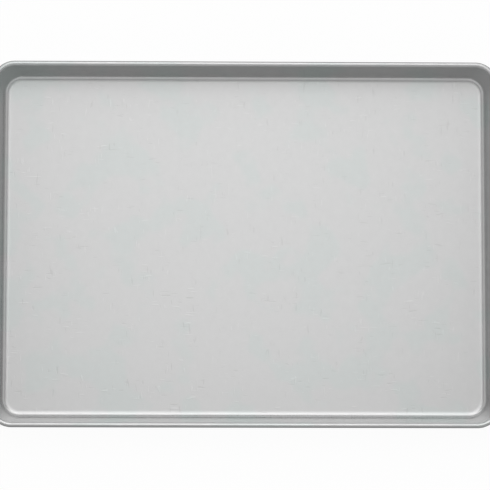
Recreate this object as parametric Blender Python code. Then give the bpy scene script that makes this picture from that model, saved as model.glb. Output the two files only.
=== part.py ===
"""A rimmed cookie sheet: one pressed metal sheet whose rim is curled round a steel wire.

Metres, +Z up. The origin is the middle of the underside, X runs along the length and Y across it.
One section, from the floor up the wall and round the curl, is carried round the pan: it is
extruded along each side and spun about each corner. The wire follows the same path inside the curl.
The rim then gets its own corner radius, because the wall leans out further at the drawn corners.
"""

import math

import bmesh
import bpy
from mathutils import Vector

# Driving dimensions
PAN_LENGTH = 0.4572  # over the rim, 18 in
PAN_WIDTH = 0.3302  # over the rim, 13 in
PAN_HEIGHT = 0.0254  # underside to the top of the rim, 1 in
SHEET = 0.0008  # thickness of the pressed sheet
FLOOR_CORNER = 0.0106  # plan radius of the flat floor's corners
RIM_CORNER = 0.0210  # plan radius of the rim's corners, outside
FOOT_RADIUS = 0.00635  # inside radius between floor and wall, 1/4 in
WALL_DRAFT = math.radians(16.5)  # how far the wall leans out from upright
WIRE_DIAMETER = 0.0024  # steel wire in the rim
WIRE_CLEARANCE = 0.0003  # all round the wire, inside the curl
CUT_EDGE_CLEARANCE = 0.0004  # the sheet's cut edge to the outside of the wall
WIRE_BUTT_GAP = 0.0006  # between the two ends of the wire

# How finely the round stretches are divided
CORNER_STEPS = 12
FOOT_FACET = math.radians(11)
CURL_FACET = math.radians(15)
WIRE_SIDES = 12
SAME_POINT = SHEET / 100  # points within this of each other are one

# The curl, worked out from the wire that it holds
CURL_INSIDE = WIRE_DIAMETER / 2 + WIRE_CLEARANCE
CURL_OUTSIDE = CURL_INSIDE + SHEET
CURL_HEIGHT = PAN_HEIGHT - CURL_OUTSIDE

# The foot's centre of curvature lies straight over the edge of the flat floor
FOOT_HEIGHT = SHEET + FOOT_RADIUS


def curl_reach():
    """How far the wire's centre lies outside the edge of the flat floor."""
    rise = (CURL_HEIGHT - FOOT_HEIGHT) * math.sin(WALL_DRAFT)
    return (FOOT_RADIUS + CURL_OUTSIDE + rise) / math.cos(WALL_DRAFT)


MARGIN = curl_reach() + CURL_OUTSIDE
FLOOR_LENGTH = PAN_LENGTH - 2 * MARGIN
FLOOR_WIDTH = PAN_WIDTH - 2 * MARGIN


def clear_scene():
    for obj in list(bpy.data.objects):
        bpy.data.objects.remove(obj, do_unlink=True)


def metal(name, colour, roughness):
    """A bare metal finish."""
    material = bpy.data.materials.new(name)
    material.use_nodes = True
    shader = material.node_tree.nodes["Principled BSDF"]
    shader.inputs["Base Color"].default_value = (*colour, 1.0)
    shader.inputs["Metallic"].default_value = 1.0
    shader.inputs["Roughness"].default_value = roughness
    material.diffuse_color = (*colour, 1.0)
    return material


def arc(centre, radius, stops, facet):
    """Points (outward, up) on an arc that lands on each stop, with no facet wider than the given angle.

    Angles are measured from the outward direction.
    """
    angles = [stops[0]]
    for start, end in zip(stops, stops[1:]):
        steps = math.ceil(abs(end - start) / facet - 1e-6)
        angles += [start + (end - start) * step / steps for step in range(1, steps + 1)]
    return [(centre[0] + radius * math.cos(a), centre[1] + radius * math.sin(a)) for a in angles]


def sheet_section():
    """The sheet's section from the floor's top skin, up and round the curl, and back along the other skin.

    The wall's inner skin runs over the top of the curl and becomes its outside.
    """
    foot = (0.0, FOOT_HEIGHT)
    curl = (curl_reach(), CURL_HEIGHT)
    floor_to_wall = (math.radians(-90), -WALL_DRAFT)
    curl_start = math.radians(180) - WALL_DRAFT
    reach_back = math.acos((CURL_INSIDE - CUT_EDGE_CLEARANCE) / CURL_OUTSIDE)
    cut_edge = curl_start + reach_back - math.radians(360)
    over_the_wire = (curl_start, math.radians(90), math.radians(-90), cut_edge)
    inner_foot = arc(foot, FOOT_RADIUS, floor_to_wall, FOOT_FACET)
    outside_of_curl = arc(curl, CURL_OUTSIDE, over_the_wire, CURL_FACET)
    inside_of_curl = arc(curl, CURL_INSIDE, over_the_wire, CURL_FACET)
    outer_foot = arc(foot, FOOT_RADIUS + SHEET, floor_to_wall, FOOT_FACET)
    return inner_foot + outside_of_curl + inside_of_curl[::-1] + outer_foot[::-1]


def chain(bm, points, closed):
    """Edges through the section's points, standing in the XZ plane with +X outward."""
    verts = [bm.verts.new((outward, 0.0, up)) for outward, up in points]
    edges = [bm.edges.new(pair) for pair in zip(verts, verts[1:])]
    if closed:
        edges.append(bm.edges.new((verts[-1], verts[0])))
    return verts + edges


def only(kind, items):
    return [item for item in items if isinstance(item, kind)]


def run_straight(bm, section, along):
    """Extrudes the section's edges along one straight side, and returns the far end."""
    edges = only(bmesh.types.BMEdge, section)
    made = bmesh.ops.extrude_edge_only(bm, edges=edges)["geom"]
    verts = only(bmesh.types.BMVert, made)
    bmesh.ops.translate(bm, verts=verts, vec=along)
    far_end = set(verts)
    return verts + [edge for edge in only(bmesh.types.BMEdge, made) if far_end.issuperset(edge.verts)]


def turn_corner(bm, section, centre):
    """Spins the section a quarter turn about one corner's upright axis, and returns the far end."""
    made = bmesh.ops.spin(
        bm,
        geom=section,
        cent=centre,
        axis=(0.0, 0.0, 1.0),
        dvec=(0.0, 0.0, 0.0),
        angle=math.radians(90),
        steps=CORNER_STEPS,
        use_duplicate=False,
    )
    return made["geom_last"]


def tighten_rim_corners(bm, centre_x, centre_y):
    """Turns everything at the rim on the rim's own corner radius, with the sides where they are.

    The foot keeps the floor's corner centres, so the wall leans out further at a corner, as on a drawn pan.
    """
    ease = FLOOR_CORNER + MARGIN - RIM_CORNER
    for vert in bm.verts:
        beyond = Vector((abs(vert.co.x) - centre_x, abs(vert.co.y) - centre_y))
        if vert.co.z > PAN_HEIGHT / 2 and min(beyond) > -SAME_POINT:
            turned = beyond.normalized()
            vert.co.x += math.copysign(ease * (1.0 - turned.x), vert.co.x)
            vert.co.y += math.copysign(ease * (1.0 - turned.y), vert.co.y)


def carry_round(bm, section, end_gap):
    """Carries a section once round the pan, anticlockwise from the middle of the right side.

    The section's zero is the edge of the flat floor. end_gap is what the run leaves open at its end.
    """
    centre_x = FLOOR_LENGTH / 2 - FLOOR_CORNER
    centre_y = FLOOR_WIDTH / 2 - FLOOR_CORNER
    first_half = Vector((0.0, centre_y - end_gap / 2, 0.0))
    start = (FLOOR_LENGTH / 2, end_gap / 2, 0.0)
    bmesh.ops.translate(bm, verts=only(bmesh.types.BMVert, section), vec=start)
    legs = (
        (first_half, (centre_x, centre_y, 0.0)),
        (Vector((-2 * centre_x, 0.0, 0.0)), (-centre_x, centre_y, 0.0)),
        (Vector((0.0, -2 * centre_y, 0.0)), (-centre_x, -centre_y, 0.0)),
        (Vector((2 * centre_x, 0.0, 0.0)), (centre_x, -centre_y, 0.0)),
    )
    for side, corner in legs:
        section = run_straight(bm, section, side)
        section = turn_corner(bm, section, corner)
    run_straight(bm, section, first_half)
    tighten_rim_corners(bm, centre_x, centre_y)


def named_object(name, bm, material):
    """Makes one object of a bmesh, shaded smooth between its sharp edges, in its own material."""
    bmesh.ops.recalc_face_normals(bm, faces=bm.faces)
    mesh = bpy.data.meshes.new(name)
    bm.to_mesh(mesh)
    bm.free()
    mesh.materials.append(material)
    mesh.shade_smooth()
    mesh.set_sharp_from_angle(angle=math.radians(35))
    obj = bpy.data.objects.new(name, mesh)
    bpy.context.scene.collection.objects.link(obj)
    return obj


def make_pan_body():
    """Floor, foot, leaning wall and curled rim, all of one sheet. The curl stays open at its cut edge."""
    bm = bmesh.new()
    carry_round(bm, chain(bm, sheet_section(), closed=False), end_gap=0.0)
    bmesh.ops.remove_doubles(bm, verts=bm.verts, dist=SAME_POINT)
    floor_edges = [edge for edge in bm.edges if edge.is_boundary]
    bmesh.ops.holes_fill(bm, edges=floor_edges, sides=0)
    finish = metal("aluminised_sheet", (0.62, 0.63, 0.64), 0.38)
    return named_object("pan_body", bm, finish)


def make_rim_wire():
    """The wire that stiffens the rim, bent round the pan with its ends butted on the right side."""
    bm = bmesh.new()
    curl = (curl_reach(), CURL_HEIGHT)
    circle = arc(curl, WIRE_DIAMETER / 2, (0.0, math.tau), math.tau / WIRE_SIDES)[:-1]
    carry_round(bm, chain(bm, circle, closed=True), WIRE_BUTT_GAP)
    open_ends = [edge for edge in bm.edges if edge.is_boundary]
    bmesh.ops.holes_fill(bm, edges=open_ends, sides=0)
    finish = metal("zinc_plated_wire", (0.50, 0.51, 0.53), 0.45)
    return named_object("rim_wire", bm, finish)


def main():
    clear_scene()
    make_pan_body()
    make_rim_wire()


main()
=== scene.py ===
import math

import bmesh
import bpy
from mathutils import Matrix, Vector


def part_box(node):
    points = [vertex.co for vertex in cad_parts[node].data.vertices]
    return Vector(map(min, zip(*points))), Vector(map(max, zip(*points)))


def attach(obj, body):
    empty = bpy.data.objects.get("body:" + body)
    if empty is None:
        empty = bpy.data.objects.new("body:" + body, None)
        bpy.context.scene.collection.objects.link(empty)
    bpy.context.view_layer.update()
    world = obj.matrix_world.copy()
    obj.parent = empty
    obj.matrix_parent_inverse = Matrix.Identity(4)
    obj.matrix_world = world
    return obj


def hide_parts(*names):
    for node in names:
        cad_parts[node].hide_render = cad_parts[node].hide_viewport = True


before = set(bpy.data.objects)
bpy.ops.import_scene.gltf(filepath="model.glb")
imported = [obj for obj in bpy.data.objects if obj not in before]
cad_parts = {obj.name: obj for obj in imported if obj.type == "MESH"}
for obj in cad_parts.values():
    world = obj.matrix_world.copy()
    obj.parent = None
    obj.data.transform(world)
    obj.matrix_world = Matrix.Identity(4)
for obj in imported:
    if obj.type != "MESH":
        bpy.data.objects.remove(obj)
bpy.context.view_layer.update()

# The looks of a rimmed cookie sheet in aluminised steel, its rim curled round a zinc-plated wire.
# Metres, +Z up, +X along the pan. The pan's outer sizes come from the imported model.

MM = 0.001

# The pan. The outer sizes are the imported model's own.
PAN_LOW, PAN_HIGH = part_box("pan_body")
PAN_LENGTH, PAN_WIDTH, PAN_HEIGHT = PAN_HIGH - PAN_LOW
SHEET = 0.0008
FLOOR_CORNER = 0.0106
RIM_CORNER = 0.0210
FOOT_RADIUS = 0.00635
WALL_DRAFT = math.radians(16.5)
WIRE_DIAMETER = 0.0024
WIRE_CLEARANCE = 0.0003
CUT_EDGE_CLEARANCE = 0.0004

# The curl, worked out from the wire that it holds
CURL_INSIDE = WIRE_DIAMETER / 2 + WIRE_CLEARANCE
CURL_OUTSIDE = CURL_INSIDE + SHEET
CURL_HEIGHT = PAN_HEIGHT - CURL_OUTSIDE
FOOT_HEIGHT = SHEET + FOOT_RADIUS
CURL_START = math.radians(180) - WALL_DRAFT
REACH_BACK = math.acos((CURL_INSIDE - CUT_EDGE_CLEARANCE) / CURL_OUTSIDE)
CUT_EDGE = CURL_START + REACH_BACK - math.radians(360)
WALL_RUN = (CURL_HEIGHT - FOOT_HEIGHT) * math.sin(WALL_DRAFT)
CURL_REACH = (FOOT_RADIUS + CURL_OUTSIDE + WALL_RUN) / math.cos(WALL_DRAFT)
MARGIN = CURL_REACH + CURL_OUTSIDE

# The flat floor, and the centres that its corners turn on
FLOOR_LENGTH = PAN_LENGTH - 2 * MARGIN
FLOOR_WIDTH = PAN_WIDTH - 2 * MARGIN
CORNER_X = FLOOR_LENGTH / 2 - FLOOR_CORNER
CORNER_Y = FLOOR_WIDTH / 2 - FLOOR_CORNER

# The band on the curl's outer side that is painted darker, a painted shade, in degrees from the top of the
# curl
SHADE_BAND_MIDDLE = 77
SHADE_BAND_HALF_WIDTH = 24
SHADE_BAND_FADE = 22

# How finely the round stretches are divided
CORNER_STEPS = 36
FOOT_FACET = math.radians(3.5)
CURL_FACET = math.radians(7.5)
FLAT_BORDER = 0.0006  # a strip round the floor, where the foot's shading ends
SHARP_EDGE = math.radians(35)
SAME_POINT = SHEET / 100  # points within this of each other are one
ROUNDING = 1e-6  # what a computed number may be off by

# The finishes' patterns. The roll's real threads are 0.3 mm wide, and these are coarser so that they show.
THREAD_LENGTH = 9 * MM
THREAD_WIDTH = 1.7 * MM
THREAD_GROUP = 20 * MM
FLECK = 10 * MM
GREEN_PATCH = 45 * MM
SWELL = 60 * MM
TEAR = 0.4 * MM
CLOUD = 5 * MM

# A Mix node's two inputs and its output when it mixes colours
FIRST = 6
SECOND = 7
MIXED = 2


# Objects and meshes

def new_object(name, data):
    """Puts data in the scene as an object at the origin."""
    obj = bpy.data.objects.new(name, data)
    bpy.context.scene.collection.objects.link(obj)
    return obj


def finished_mesh(name, bm, materials):
    """Turns a bmesh into a mesh with its materials."""
    mesh = bpy.data.meshes.new(name)
    bm.to_mesh(mesh)
    bm.free()
    for material in materials:
        mesh.materials.append(material)
    return mesh


# Camera

def place_camera():
    """Looks almost straight down, leaning a little to the near side, from about two and a half metres."""
    target = Vector((0.00036, 0.00107, 0.0))
    distance = 2.534
    tilt = math.radians(6.15)
    turn = math.radians(-8.1)
    roll = math.radians(0.09)
    pixels_per_focal = 2799.6
    picture_width = 490
    sensor_width = 36.0
    back = Vector((math.sin(tilt) * math.sin(turn), -math.sin(tilt) * math.cos(turn), math.cos(tilt)))
    level = Vector((0.0, 1.0, 0.0)).cross(back).normalized()
    upward = back.cross(level)
    right = math.cos(roll) * level + math.sin(roll) * upward
    up = math.cos(roll) * upward - math.sin(roll) * level
    camera = new_object("camera", bpy.data.cameras.new("camera"))
    camera.data.sensor_width = sensor_width
    camera.data.lens = pixels_per_focal * sensor_width / picture_width
    turned = Matrix((right, up, back)).transposed().to_4x4()
    camera.matrix_world = Matrix.Translation(target + distance * back) @ turned
    bpy.context.scene.camera = camera


# Nodes and colours

def linear(hex_colour):
    """A linear RGBA colour from an sRGB hex value."""
    shares = [int(hex_colour[i : i + 2], 16) / 255 for i in (1, 3, 5)]
    return (*[s / 12.92 if s <= 0.04045 else ((s + 0.055) / 1.055) ** 2.4 for s in shares], 1.0)


def add(tree, kind, inputs, **settings):
    """Adds a node. An input is given a value, the output that feeds it, or a node for its first output."""
    node = tree.nodes.new("ShaderNode" + kind)
    for name, value in settings.items():
        setattr(node, name, value)
    for socket, value in inputs.items():
        if isinstance(value, bpy.types.Node):
            value = value.outputs[0]
        if isinstance(value, bpy.types.NodeSocket):
            tree.links.new(value, node.inputs[socket])
        else:
            node.inputs[socket].default_value = value
    return node


def new_material(name):
    """An empty material and its node tree."""
    material = bpy.data.materials.new(name)
    material.use_nodes = True
    material.node_tree.nodes.clear()
    return material, material.node_tree


# Materials

def standing_out(tree, thread, depth):
    """From a thread's noise: above 0 on the few tallest, below 0 on the few deepest and 0 on all the rest.

    depth is how far they stand out, and at 0.0 none does.
    """
    top = {"Value": thread, "From Min": 0.76, "From Max": 0.82}
    bottom = {"Value": thread, "From Min": 0.18, "From Max": 0.24, "To Min": -1.0, "To Max": 0.0}
    tallest = add(tree, "MapRange", top)
    deepest = add(tree, "MapRange", bottom)
    both = add(tree, "Math", {0: tallest, 1: deepest}, operation="ADD")
    return add(tree, "Math", {0: both, 1: depth}, operation="MULTIPLY")


def rolled_threads(tree, place, drawn):
    """The roll's crossing threads: the weft's noise, the dashes that stand out, and the height of it all.

    Most threads lie in the satin ground. In loose groups a few stand out as dashes. The die flattens them
    where it draws the sheet.
    """
    long_way = 1 / THREAD_LENGTH
    short_way = 1 / THREAD_WIDTH
    along_x = add(tree, "Mapping", {"Vector": place, "Scale": (long_way, short_way, short_way)})
    along_y = add(tree, "Mapping", {"Vector": place, "Scale": (short_way, long_way, short_way)})
    weft = add(tree, "TexNoise", {"Vector": along_x, "Scale": 1.0, "Detail": 0.0})
    warp = add(tree, "TexNoise", {"Vector": along_y, "Scale": 1.0, "Detail": 0.0})
    depth = add(tree, "MapRange", {"Value": drawn, "To Min": 1.0, "To Max": 0.25})
    group = add(tree, "TexNoise", {"Vector": place, "Scale": 1 / THREAD_GROUP, "Detail": 0.0})
    bite = add(tree, "MapRange", {"Value": group, "From Min": 0.46, "From Max": 0.62, "To Max": depth})
    pair = {0: standing_out(tree, weft, bite), 1: standing_out(tree, warp, bite)}
    dashes = add(tree, "Math", pair, operation="ADD")
    ground = add(tree, "Math", {0: weft, 1: warp}, operation="ADD")
    linen = add(tree, "Math", {0: ground, 1: 0.05, 2: dashes}, operation="MULTIPLY_ADD")
    height = add(tree, "Math", {0: linen, 1: depth}, operation="MULTIPLY")
    return weft, dashes, height


def coat_tone(tree, place, fleck, dashes):
    """The coat's grey. Flecks make it lighter and darker by a few hundredths at random.

    The dashes that stand out are painted lighter on the tallest threads and darker on the deepest: a
    painted glint and a painted shade.
    """
    fleck_and_painted_glint = add(tree, "Math", {0: dashes, 1: 0.56, 2: fleck}, operation="MULTIPLY_ADD")
    greys = {"Factor": fleck_and_painted_glint, FIRST: linear("#C2C2C2"), SECOND: linear("#CCCCCC")}
    grey = add(tree, "Mix", greys, data_type="RGBA").outputs[MIXED]

    # Here and there the coat has a breath of green
    patch = add(tree, "TexNoise", {"Vector": place, "Scale": 1 / GREEN_PATCH, "Detail": 2.0})
    edge = {"Value": patch, "From Min": 0.50, "From Max": 0.60}
    greened = add(tree, "MapRange", edge, interpolation_type="SMOOTHSTEP")
    tint = {"Factor": greened, FIRST: grey, SECOND: linear("#FBFFFE")}
    return add(tree, "Mix", tint, data_type="RGBA", blend_type="MULTIPLY").outputs[MIXED]


def aluminised_sheet():
    """Hot-dip aluminised steel, given a fine linen texture by the roll and pressed to shape.

    The eye sees a pale satin grey that blurs every reflection. The floor keeps the roll's fine crossing
    threads. Where the die drew the sheet, at the foot, wall and curl, it is smoother and shows soft lines
    of light. The curl's outer side is painted darker, a painted shade for the shadowed paper that it
    reflects.
    """
    material, tree = new_material("aluminised_sheet")
    place = add(tree, "TexCoord", {}).outputs["Object"]
    height = add(tree, "SeparateXYZ", {"Vector": place}).outputs["Z"]
    foot = {"Value": height, "From Min": SHEET + 0.10 * MM, "From Max": SHEET + 1.05 * MM}
    drawn = add(tree, "MapRange", foot, interpolation_type="SMOOTHSTEP")
    weft, dashes, threads = rolled_threads(tree, place, drawn)
    fleck = add(tree, "TexNoise", {"Vector": place, "Scale": 1 / FLECK, "Detail": 3.0, "Roughness": 0.6})
    tone = coat_tone(tree, place, fleck, dashes)
    satin = add(tree, "MapRange", {"Value": fleck, "To Min": 0.50, "To Max": 0.57})

    # The die rubs the coat smoother where it draws the sheet, and a touch darker
    rub = {"Factor": drawn, FIRST: tone, SECOND: linear("#F8F8F8")}
    rubbed = add(tree, "Mix", rub, data_type="RGBA", blend_type="MULTIPLY").outputs[MIXED]
    burnished = add(tree, "MapRange", {"Value": weft, "To Min": 0.19, "To Max": 0.25})

    # The curl is rolled, not drawn, and duller
    rim = {"Value": height, "From Min": CURL_HEIGHT - MM, "From Max": CURL_HEIGHT + MM, "To Max": 0.25}
    curled = add(tree, "MapRange", rim)
    drawn_finish = add(tree, "Math", {0: burnished, 1: curled}, operation="ADD")
    roughness = add(tree, "Mix", {"Factor": drawn, "A": satin, "B": drawn_finish})

    # On the rim's outer side the colour is painted darker, a painted shade for the shadowed paper that the
    # curl reflects there, and the finish is even
    rim_shade_and_finish = add(tree, "Attribute", {}, attribute_name="rim_shade_and_finish").outputs["Fac"]
    rim_shade_mix = {"Factor": rim_shade_and_finish, FIRST: rubbed, SECOND: linear("#6C6D6D")}
    colour = add(tree, "Mix", rim_shade_mix, data_type="RGBA").outputs[MIXED]
    finish = add(tree, "Mix", {"Factor": rim_shade_and_finish, "A": roughness, "B": 0.30})

    # The sheet isn't dead flat: soft swells lie under the threads
    swell = add(tree, "TexNoise", {"Vector": place, "Scale": 1 / SWELL, "Detail": 1.0})
    waves = add(tree, "Bump", {"Height": swell, "Strength": 1.0, "Distance": 0.10 * MM})
    relief = {"Height": threads, "Strength": 1.0, "Distance": 0.042 * MM, "Normal": waves}
    surface = add(tree, "Bump", relief)
    coat = {"Base Color": colour, "Metallic": 1.0, "Roughness": finish, "Normal": surface}
    add(tree, "OutputMaterial", {"Surface": add(tree, "BsdfPrincipled", coat)})
    return material


def sheared_edge():
    """The sheet's cut edge: bare steel, torn across in fine grains, darker than the coat and rough."""
    material, tree = new_material("sheared_steel_edge")
    place = add(tree, "TexCoord", {}).outputs["Object"]
    tear = add(tree, "TexNoise", {"Vector": place, "Scale": 1 / TEAR, "Detail": 3.0})
    greys = {"Factor": tear, FIRST: linear("#83817E"), SECOND: linear("#A5A4A2")}
    tone = add(tree, "Mix", greys, data_type="RGBA").outputs[MIXED]
    relief = add(tree, "Bump", {"Height": tear, "Strength": 1.0, "Distance": 0.03 * MM})
    steel = {"Base Color": tone, "Metallic": 1.0, "Roughness": 0.5, "Normal": relief}
    add(tree, "OutputMaterial", {"Surface": add(tree, "BsdfPrincipled", steel)})
    return material


def zinc_plated_wire():
    """Drawn steel wire with a dull zinc coat: bluish grey, in cloudy patches."""
    material, tree = new_material("zinc_plated_wire")
    place = add(tree, "TexCoord", {}).outputs["Object"]
    cloud = add(tree, "TexNoise", {"Vector": place, "Scale": 1 / CLOUD, "Detail": 4.0, "Roughness": 0.65})
    greys = {"Factor": cloud, FIRST: linear("#9FA3A8"), SECOND: linear("#BCC0C3")}
    tone = add(tree, "Mix", greys, data_type="RGBA").outputs[MIXED]
    roughness = add(tree, "MapRange", {"Value": cloud, "To Min": 0.36, "To Max": 0.52})
    relief = add(tree, "Bump", {"Height": cloud, "Strength": 1.0, "Distance": 0.02 * MM})
    zinc = {"Base Color": tone, "Metallic": 1.0, "Roughness": roughness, "Normal": relief}
    add(tree, "OutputMaterial", {"Surface": add(tree, "BsdfPrincipled", zinc)})
    return material


def white_paper():
    """A sweep of white paper. To the eye and in the metal it is plain white, all but a faint shadow."""
    material, tree = new_material("white_paper")
    ray = add(tree, "LightPath", {}).outputs
    seen = add(tree, "Math", {0: ray["Is Camera Ray"], 1: ray["Is Glossy Ray"]}, operation="ADD")
    seen = add(tree, "Math", {0: seen, 1: ray["Is Transmission Ray"]}, operation="ADD")
    white_share = add(tree, "Math", {0: seen, 1: 0.95}, operation="MULTIPLY", use_clamp=True)
    paper = add(tree, "BsdfDiffuse", {"Color": linear("#F4F4F4")})
    glow = add(tree, "Emission", {"Color": linear("#FFFFFF"), "Strength": 1.0})
    both = add(tree, "MixShader", {0: white_share, 1: paper, 2: glow})
    add(tree, "OutputMaterial", {"Surface": both})
    return material


# The pan

def arc(centre, radius, stops, facet):
    """Points (outward, up) on an arc that lands on each stop. Angles are measured from outward."""
    angles = [stops[0]]
    for start, end in zip(stops, stops[1:]):
        steps = math.ceil(abs(end - start) / facet - ROUNDING)
        angles += [start + (end - start) * step / steps for step in range(1, steps + 1)]
    return [(centre[0] + radius * math.cos(a), centre[1] + radius * math.sin(a)) for a in angles]


def sheet_section():
    """From the floor's top skin up and round the curl, and back along the other skin."""
    foot = (0.0, FOOT_HEIGHT)
    curl = (CURL_REACH, CURL_HEIGHT)
    floor_to_wall = (math.radians(-90), -WALL_DRAFT)
    over_the_wire = (CURL_START, math.radians(90), math.radians(-90), CUT_EDGE)
    inner_foot = arc(foot, FOOT_RADIUS, floor_to_wall, FOOT_FACET)
    outside_of_curl = arc(curl, CURL_OUTSIDE, over_the_wire, CURL_FACET)
    inside_of_curl = arc(curl, CURL_INSIDE, over_the_wire, CURL_FACET)
    outer_foot = arc(foot, FOOT_RADIUS + SHEET, floor_to_wall, FOOT_FACET)
    return inner_foot + outside_of_curl + inside_of_curl[::-1] + outer_foot[::-1]


def rim_shade_share(outward, up):
    """How far this skin lies in the band of painted shade on the curl's outer side."""
    from_top = math.degrees(math.atan2(outward - CURL_REACH, up - CURL_HEIGHT))
    beyond_band = abs(from_top - SHADE_BAND_MIDDLE) - SHADE_BAND_HALF_WIDTH
    return min(max(1.0 - beyond_band / SHADE_BAND_FADE, 0.0), 1.0)


def only(kind, items):
    """The items of one kind."""
    return [item for item in items if isinstance(item, kind)]


def run_straight(bm, section, along):
    """Extrudes the section's edges along one side, and returns the far end."""
    made = bmesh.ops.extrude_edge_only(bm, edges=only(bmesh.types.BMEdge, section))["geom"]
    verts = only(bmesh.types.BMVert, made)
    bmesh.ops.translate(bm, verts=verts, vec=along)
    far_end = set(verts)
    return verts + [edge for edge in only(bmesh.types.BMEdge, made) if far_end.issuperset(edge.verts)]


def turn_corner(bm, section, centre):
    """Spins the section a quarter turn about a corner's upright axis, and returns the far end."""
    made = bmesh.ops.spin(
        bm,
        geom=section,
        cent=centre,
        axis=(0.0, 0.0, 1.0),
        angle=math.radians(90),
        steps=CORNER_STEPS,
        use_duplicate=False,
    )
    return made["geom_last"]


def carry_round(bm, section):
    """Carries the section once round the pan, from the middle of the right side."""
    start = (FLOOR_LENGTH / 2, 0.0, 0.0)
    half_side = (0.0, CORNER_Y, 0.0)
    bmesh.ops.translate(bm, verts=only(bmesh.types.BMVert, section), vec=start)
    legs = (
        (half_side, (CORNER_X, CORNER_Y, 0.0)),
        ((-2 * CORNER_X, 0.0, 0.0), (-CORNER_X, CORNER_Y, 0.0)),
        ((0.0, -2 * CORNER_Y, 0.0), (-CORNER_X, -CORNER_Y, 0.0)),
        ((2 * CORNER_X, 0.0, 0.0), (CORNER_X, -CORNER_Y, 0.0)),
    )
    for side, corner in legs:
        section = run_straight(bm, section, side)
        section = turn_corner(bm, section, corner)
    run_straight(bm, section, half_side)


def tighten_rim_corners(bm):
    """Turns the rim's corners on their own smaller radius. The wall leans out further there."""
    ease = FLOOR_CORNER + MARGIN - RIM_CORNER
    for vert in bm.verts:
        beyond = Vector((abs(vert.co.x) - CORNER_X, abs(vert.co.y) - CORNER_Y))
        if vert.co.z > PAN_HEIGHT / 2 and min(beyond) > -SAME_POINT:
            turned = beyond.normalized()
            vert.co.x += math.copysign(ease * (1.0 - turned.x), vert.co.x)
            vert.co.y += math.copysign(ease * (1.0 - turned.y), vert.co.y)


def mark_cut_edge(bm):
    """Gives the strip between the two skins at the sheet's cut edge the second material."""
    heights = [CURL_HEIGHT + radius * math.sin(CUT_EDGE) for radius in (CURL_OUTSIDE, CURL_INSIDE)]
    bottom, top = sorted(heights)
    for face in bm.faces:
        low = min(vert.co.z for vert in face.verts)
        high = max(vert.co.z for vert in face.verts)
        if abs(low - bottom) < ROUNDING and abs(high - top) < ROUNDING:
            face.material_index = 1


def make_pan_sheet():
    """Floor, foot, wall and curled rim, all of one sheet."""
    bm = bmesh.new()
    # Each point's share of the band of painted shade on the curl's outer side
    rim_shade_and_finish = bm.verts.layers.float.new("rim_shade_and_finish")
    section = sheet_section()
    verts = [bm.verts.new((outward, 0.0, up)) for outward, up in section]
    for vert, (outward, up) in zip(verts, section):
        vert[rim_shade_and_finish] = rim_shade_share(outward, up)
    edges = [bm.edges.new(pair) for pair in zip(verts, verts[1:])]
    carry_round(bm, verts + edges)
    bmesh.ops.remove_doubles(bm, verts=bm.verts, dist=SAME_POINT)
    tighten_rim_corners(bm)
    open_edges = [edge for edge in bm.edges if edge.is_boundary]
    floors = bmesh.ops.holes_fill(bm, edges=open_edges, sides=0)["faces"]
    bmesh.ops.inset_individual(bm, faces=floors, thickness=FLAT_BORDER, use_even_offset=True)
    bmesh.ops.recalc_face_normals(bm, faces=bm.faces)
    mark_cut_edge(bm)
    mesh = finished_mesh("pan_sheet", bm, (aluminised_sheet(), sheared_edge()))
    mesh.shade_smooth()
    mesh.set_sharp_from_angle(angle=SHARP_EDGE)
    pan = new_object("pan_sheet", mesh)
    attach(pan, "root")
    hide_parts("pan_body")


def finish_wire():
    """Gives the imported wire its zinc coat."""
    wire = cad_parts["rim_wire"]
    wire.data.materials.clear()
    wire.data.materials.append(zinc_plated_wire())


# The room

def make_floor():
    """The paper under the pan, wide enough for every view, a hair below it so that no two faces meet."""
    half_width = 12.0
    hair = 0.1 * MM
    bm = bmesh.new()
    bmesh.ops.create_grid(bm, x_segments=1, y_segments=1, size=half_width)
    bmesh.ops.translate(bm, verts=bm.verts, vec=(0.0, 0.0, -hair))
    floor = new_object("floor", finished_mesh("floor", bm, (white_paper(),)))


def light_room():
    """A white studio: even light, brighter low down, one soft box overhead and two on the far side."""
    world = bpy.data.worlds.new("studio")
    world.use_nodes = True
    tree = world.node_tree
    tree.nodes.clear()
    way = add(tree, "TexCoord", {}).outputs["Generated"]
    rise = add(tree, "SeparateXYZ", {"Vector": way}).outputs["Z"]

    # Bright walls reach some 39 degrees above level, and pass into a dimmer ceiling by 44
    walls = {"Value": rise, "From Min": 0.63, "From Max": 0.70, "To Min": 0.72, "To Max": 0.25}
    room = {"Color": linear("#FFFFFF"), "Strength": add(tree, "MapRange", walls)}
    add(tree, "OutputWorld", {"Surface": add(tree, "Background", room)})
    bpy.context.scene.world = world

    hang_box("overhead_box", place=(0.0, 0.0, 1.6), size=(0.72, 0.72), radiance=2.32)
    hang_box("far_box", place=(0.0, 1.59, 2.54), size=(2.0, 1.75), radiance=2.70)
    hang_box("far_low_box", place=(0.0, 2.70, 1.32), size=(5.0, 1.25), radiance=0.73)


def hang_box(name, place, size, radiance):
    """A rectangular soft box that faces the pan. Its first side is level."""
    box = bpy.data.lights.new(name, "AREA")
    box.shape = "RECTANGLE"
    box.size, box.size_y = size
    box.energy = radiance * math.pi * math.prod(size)
    lamp = new_object(name, box)
    lamp.location = place
    lamp.rotation_euler = Vector(place).to_track_quat("Z", "Y").to_euler()


place_camera()
make_pan_sheet()
finish_wire()
make_floor()
light_room()
bpy.context.scene.view_settings.view_transform = "Standard"
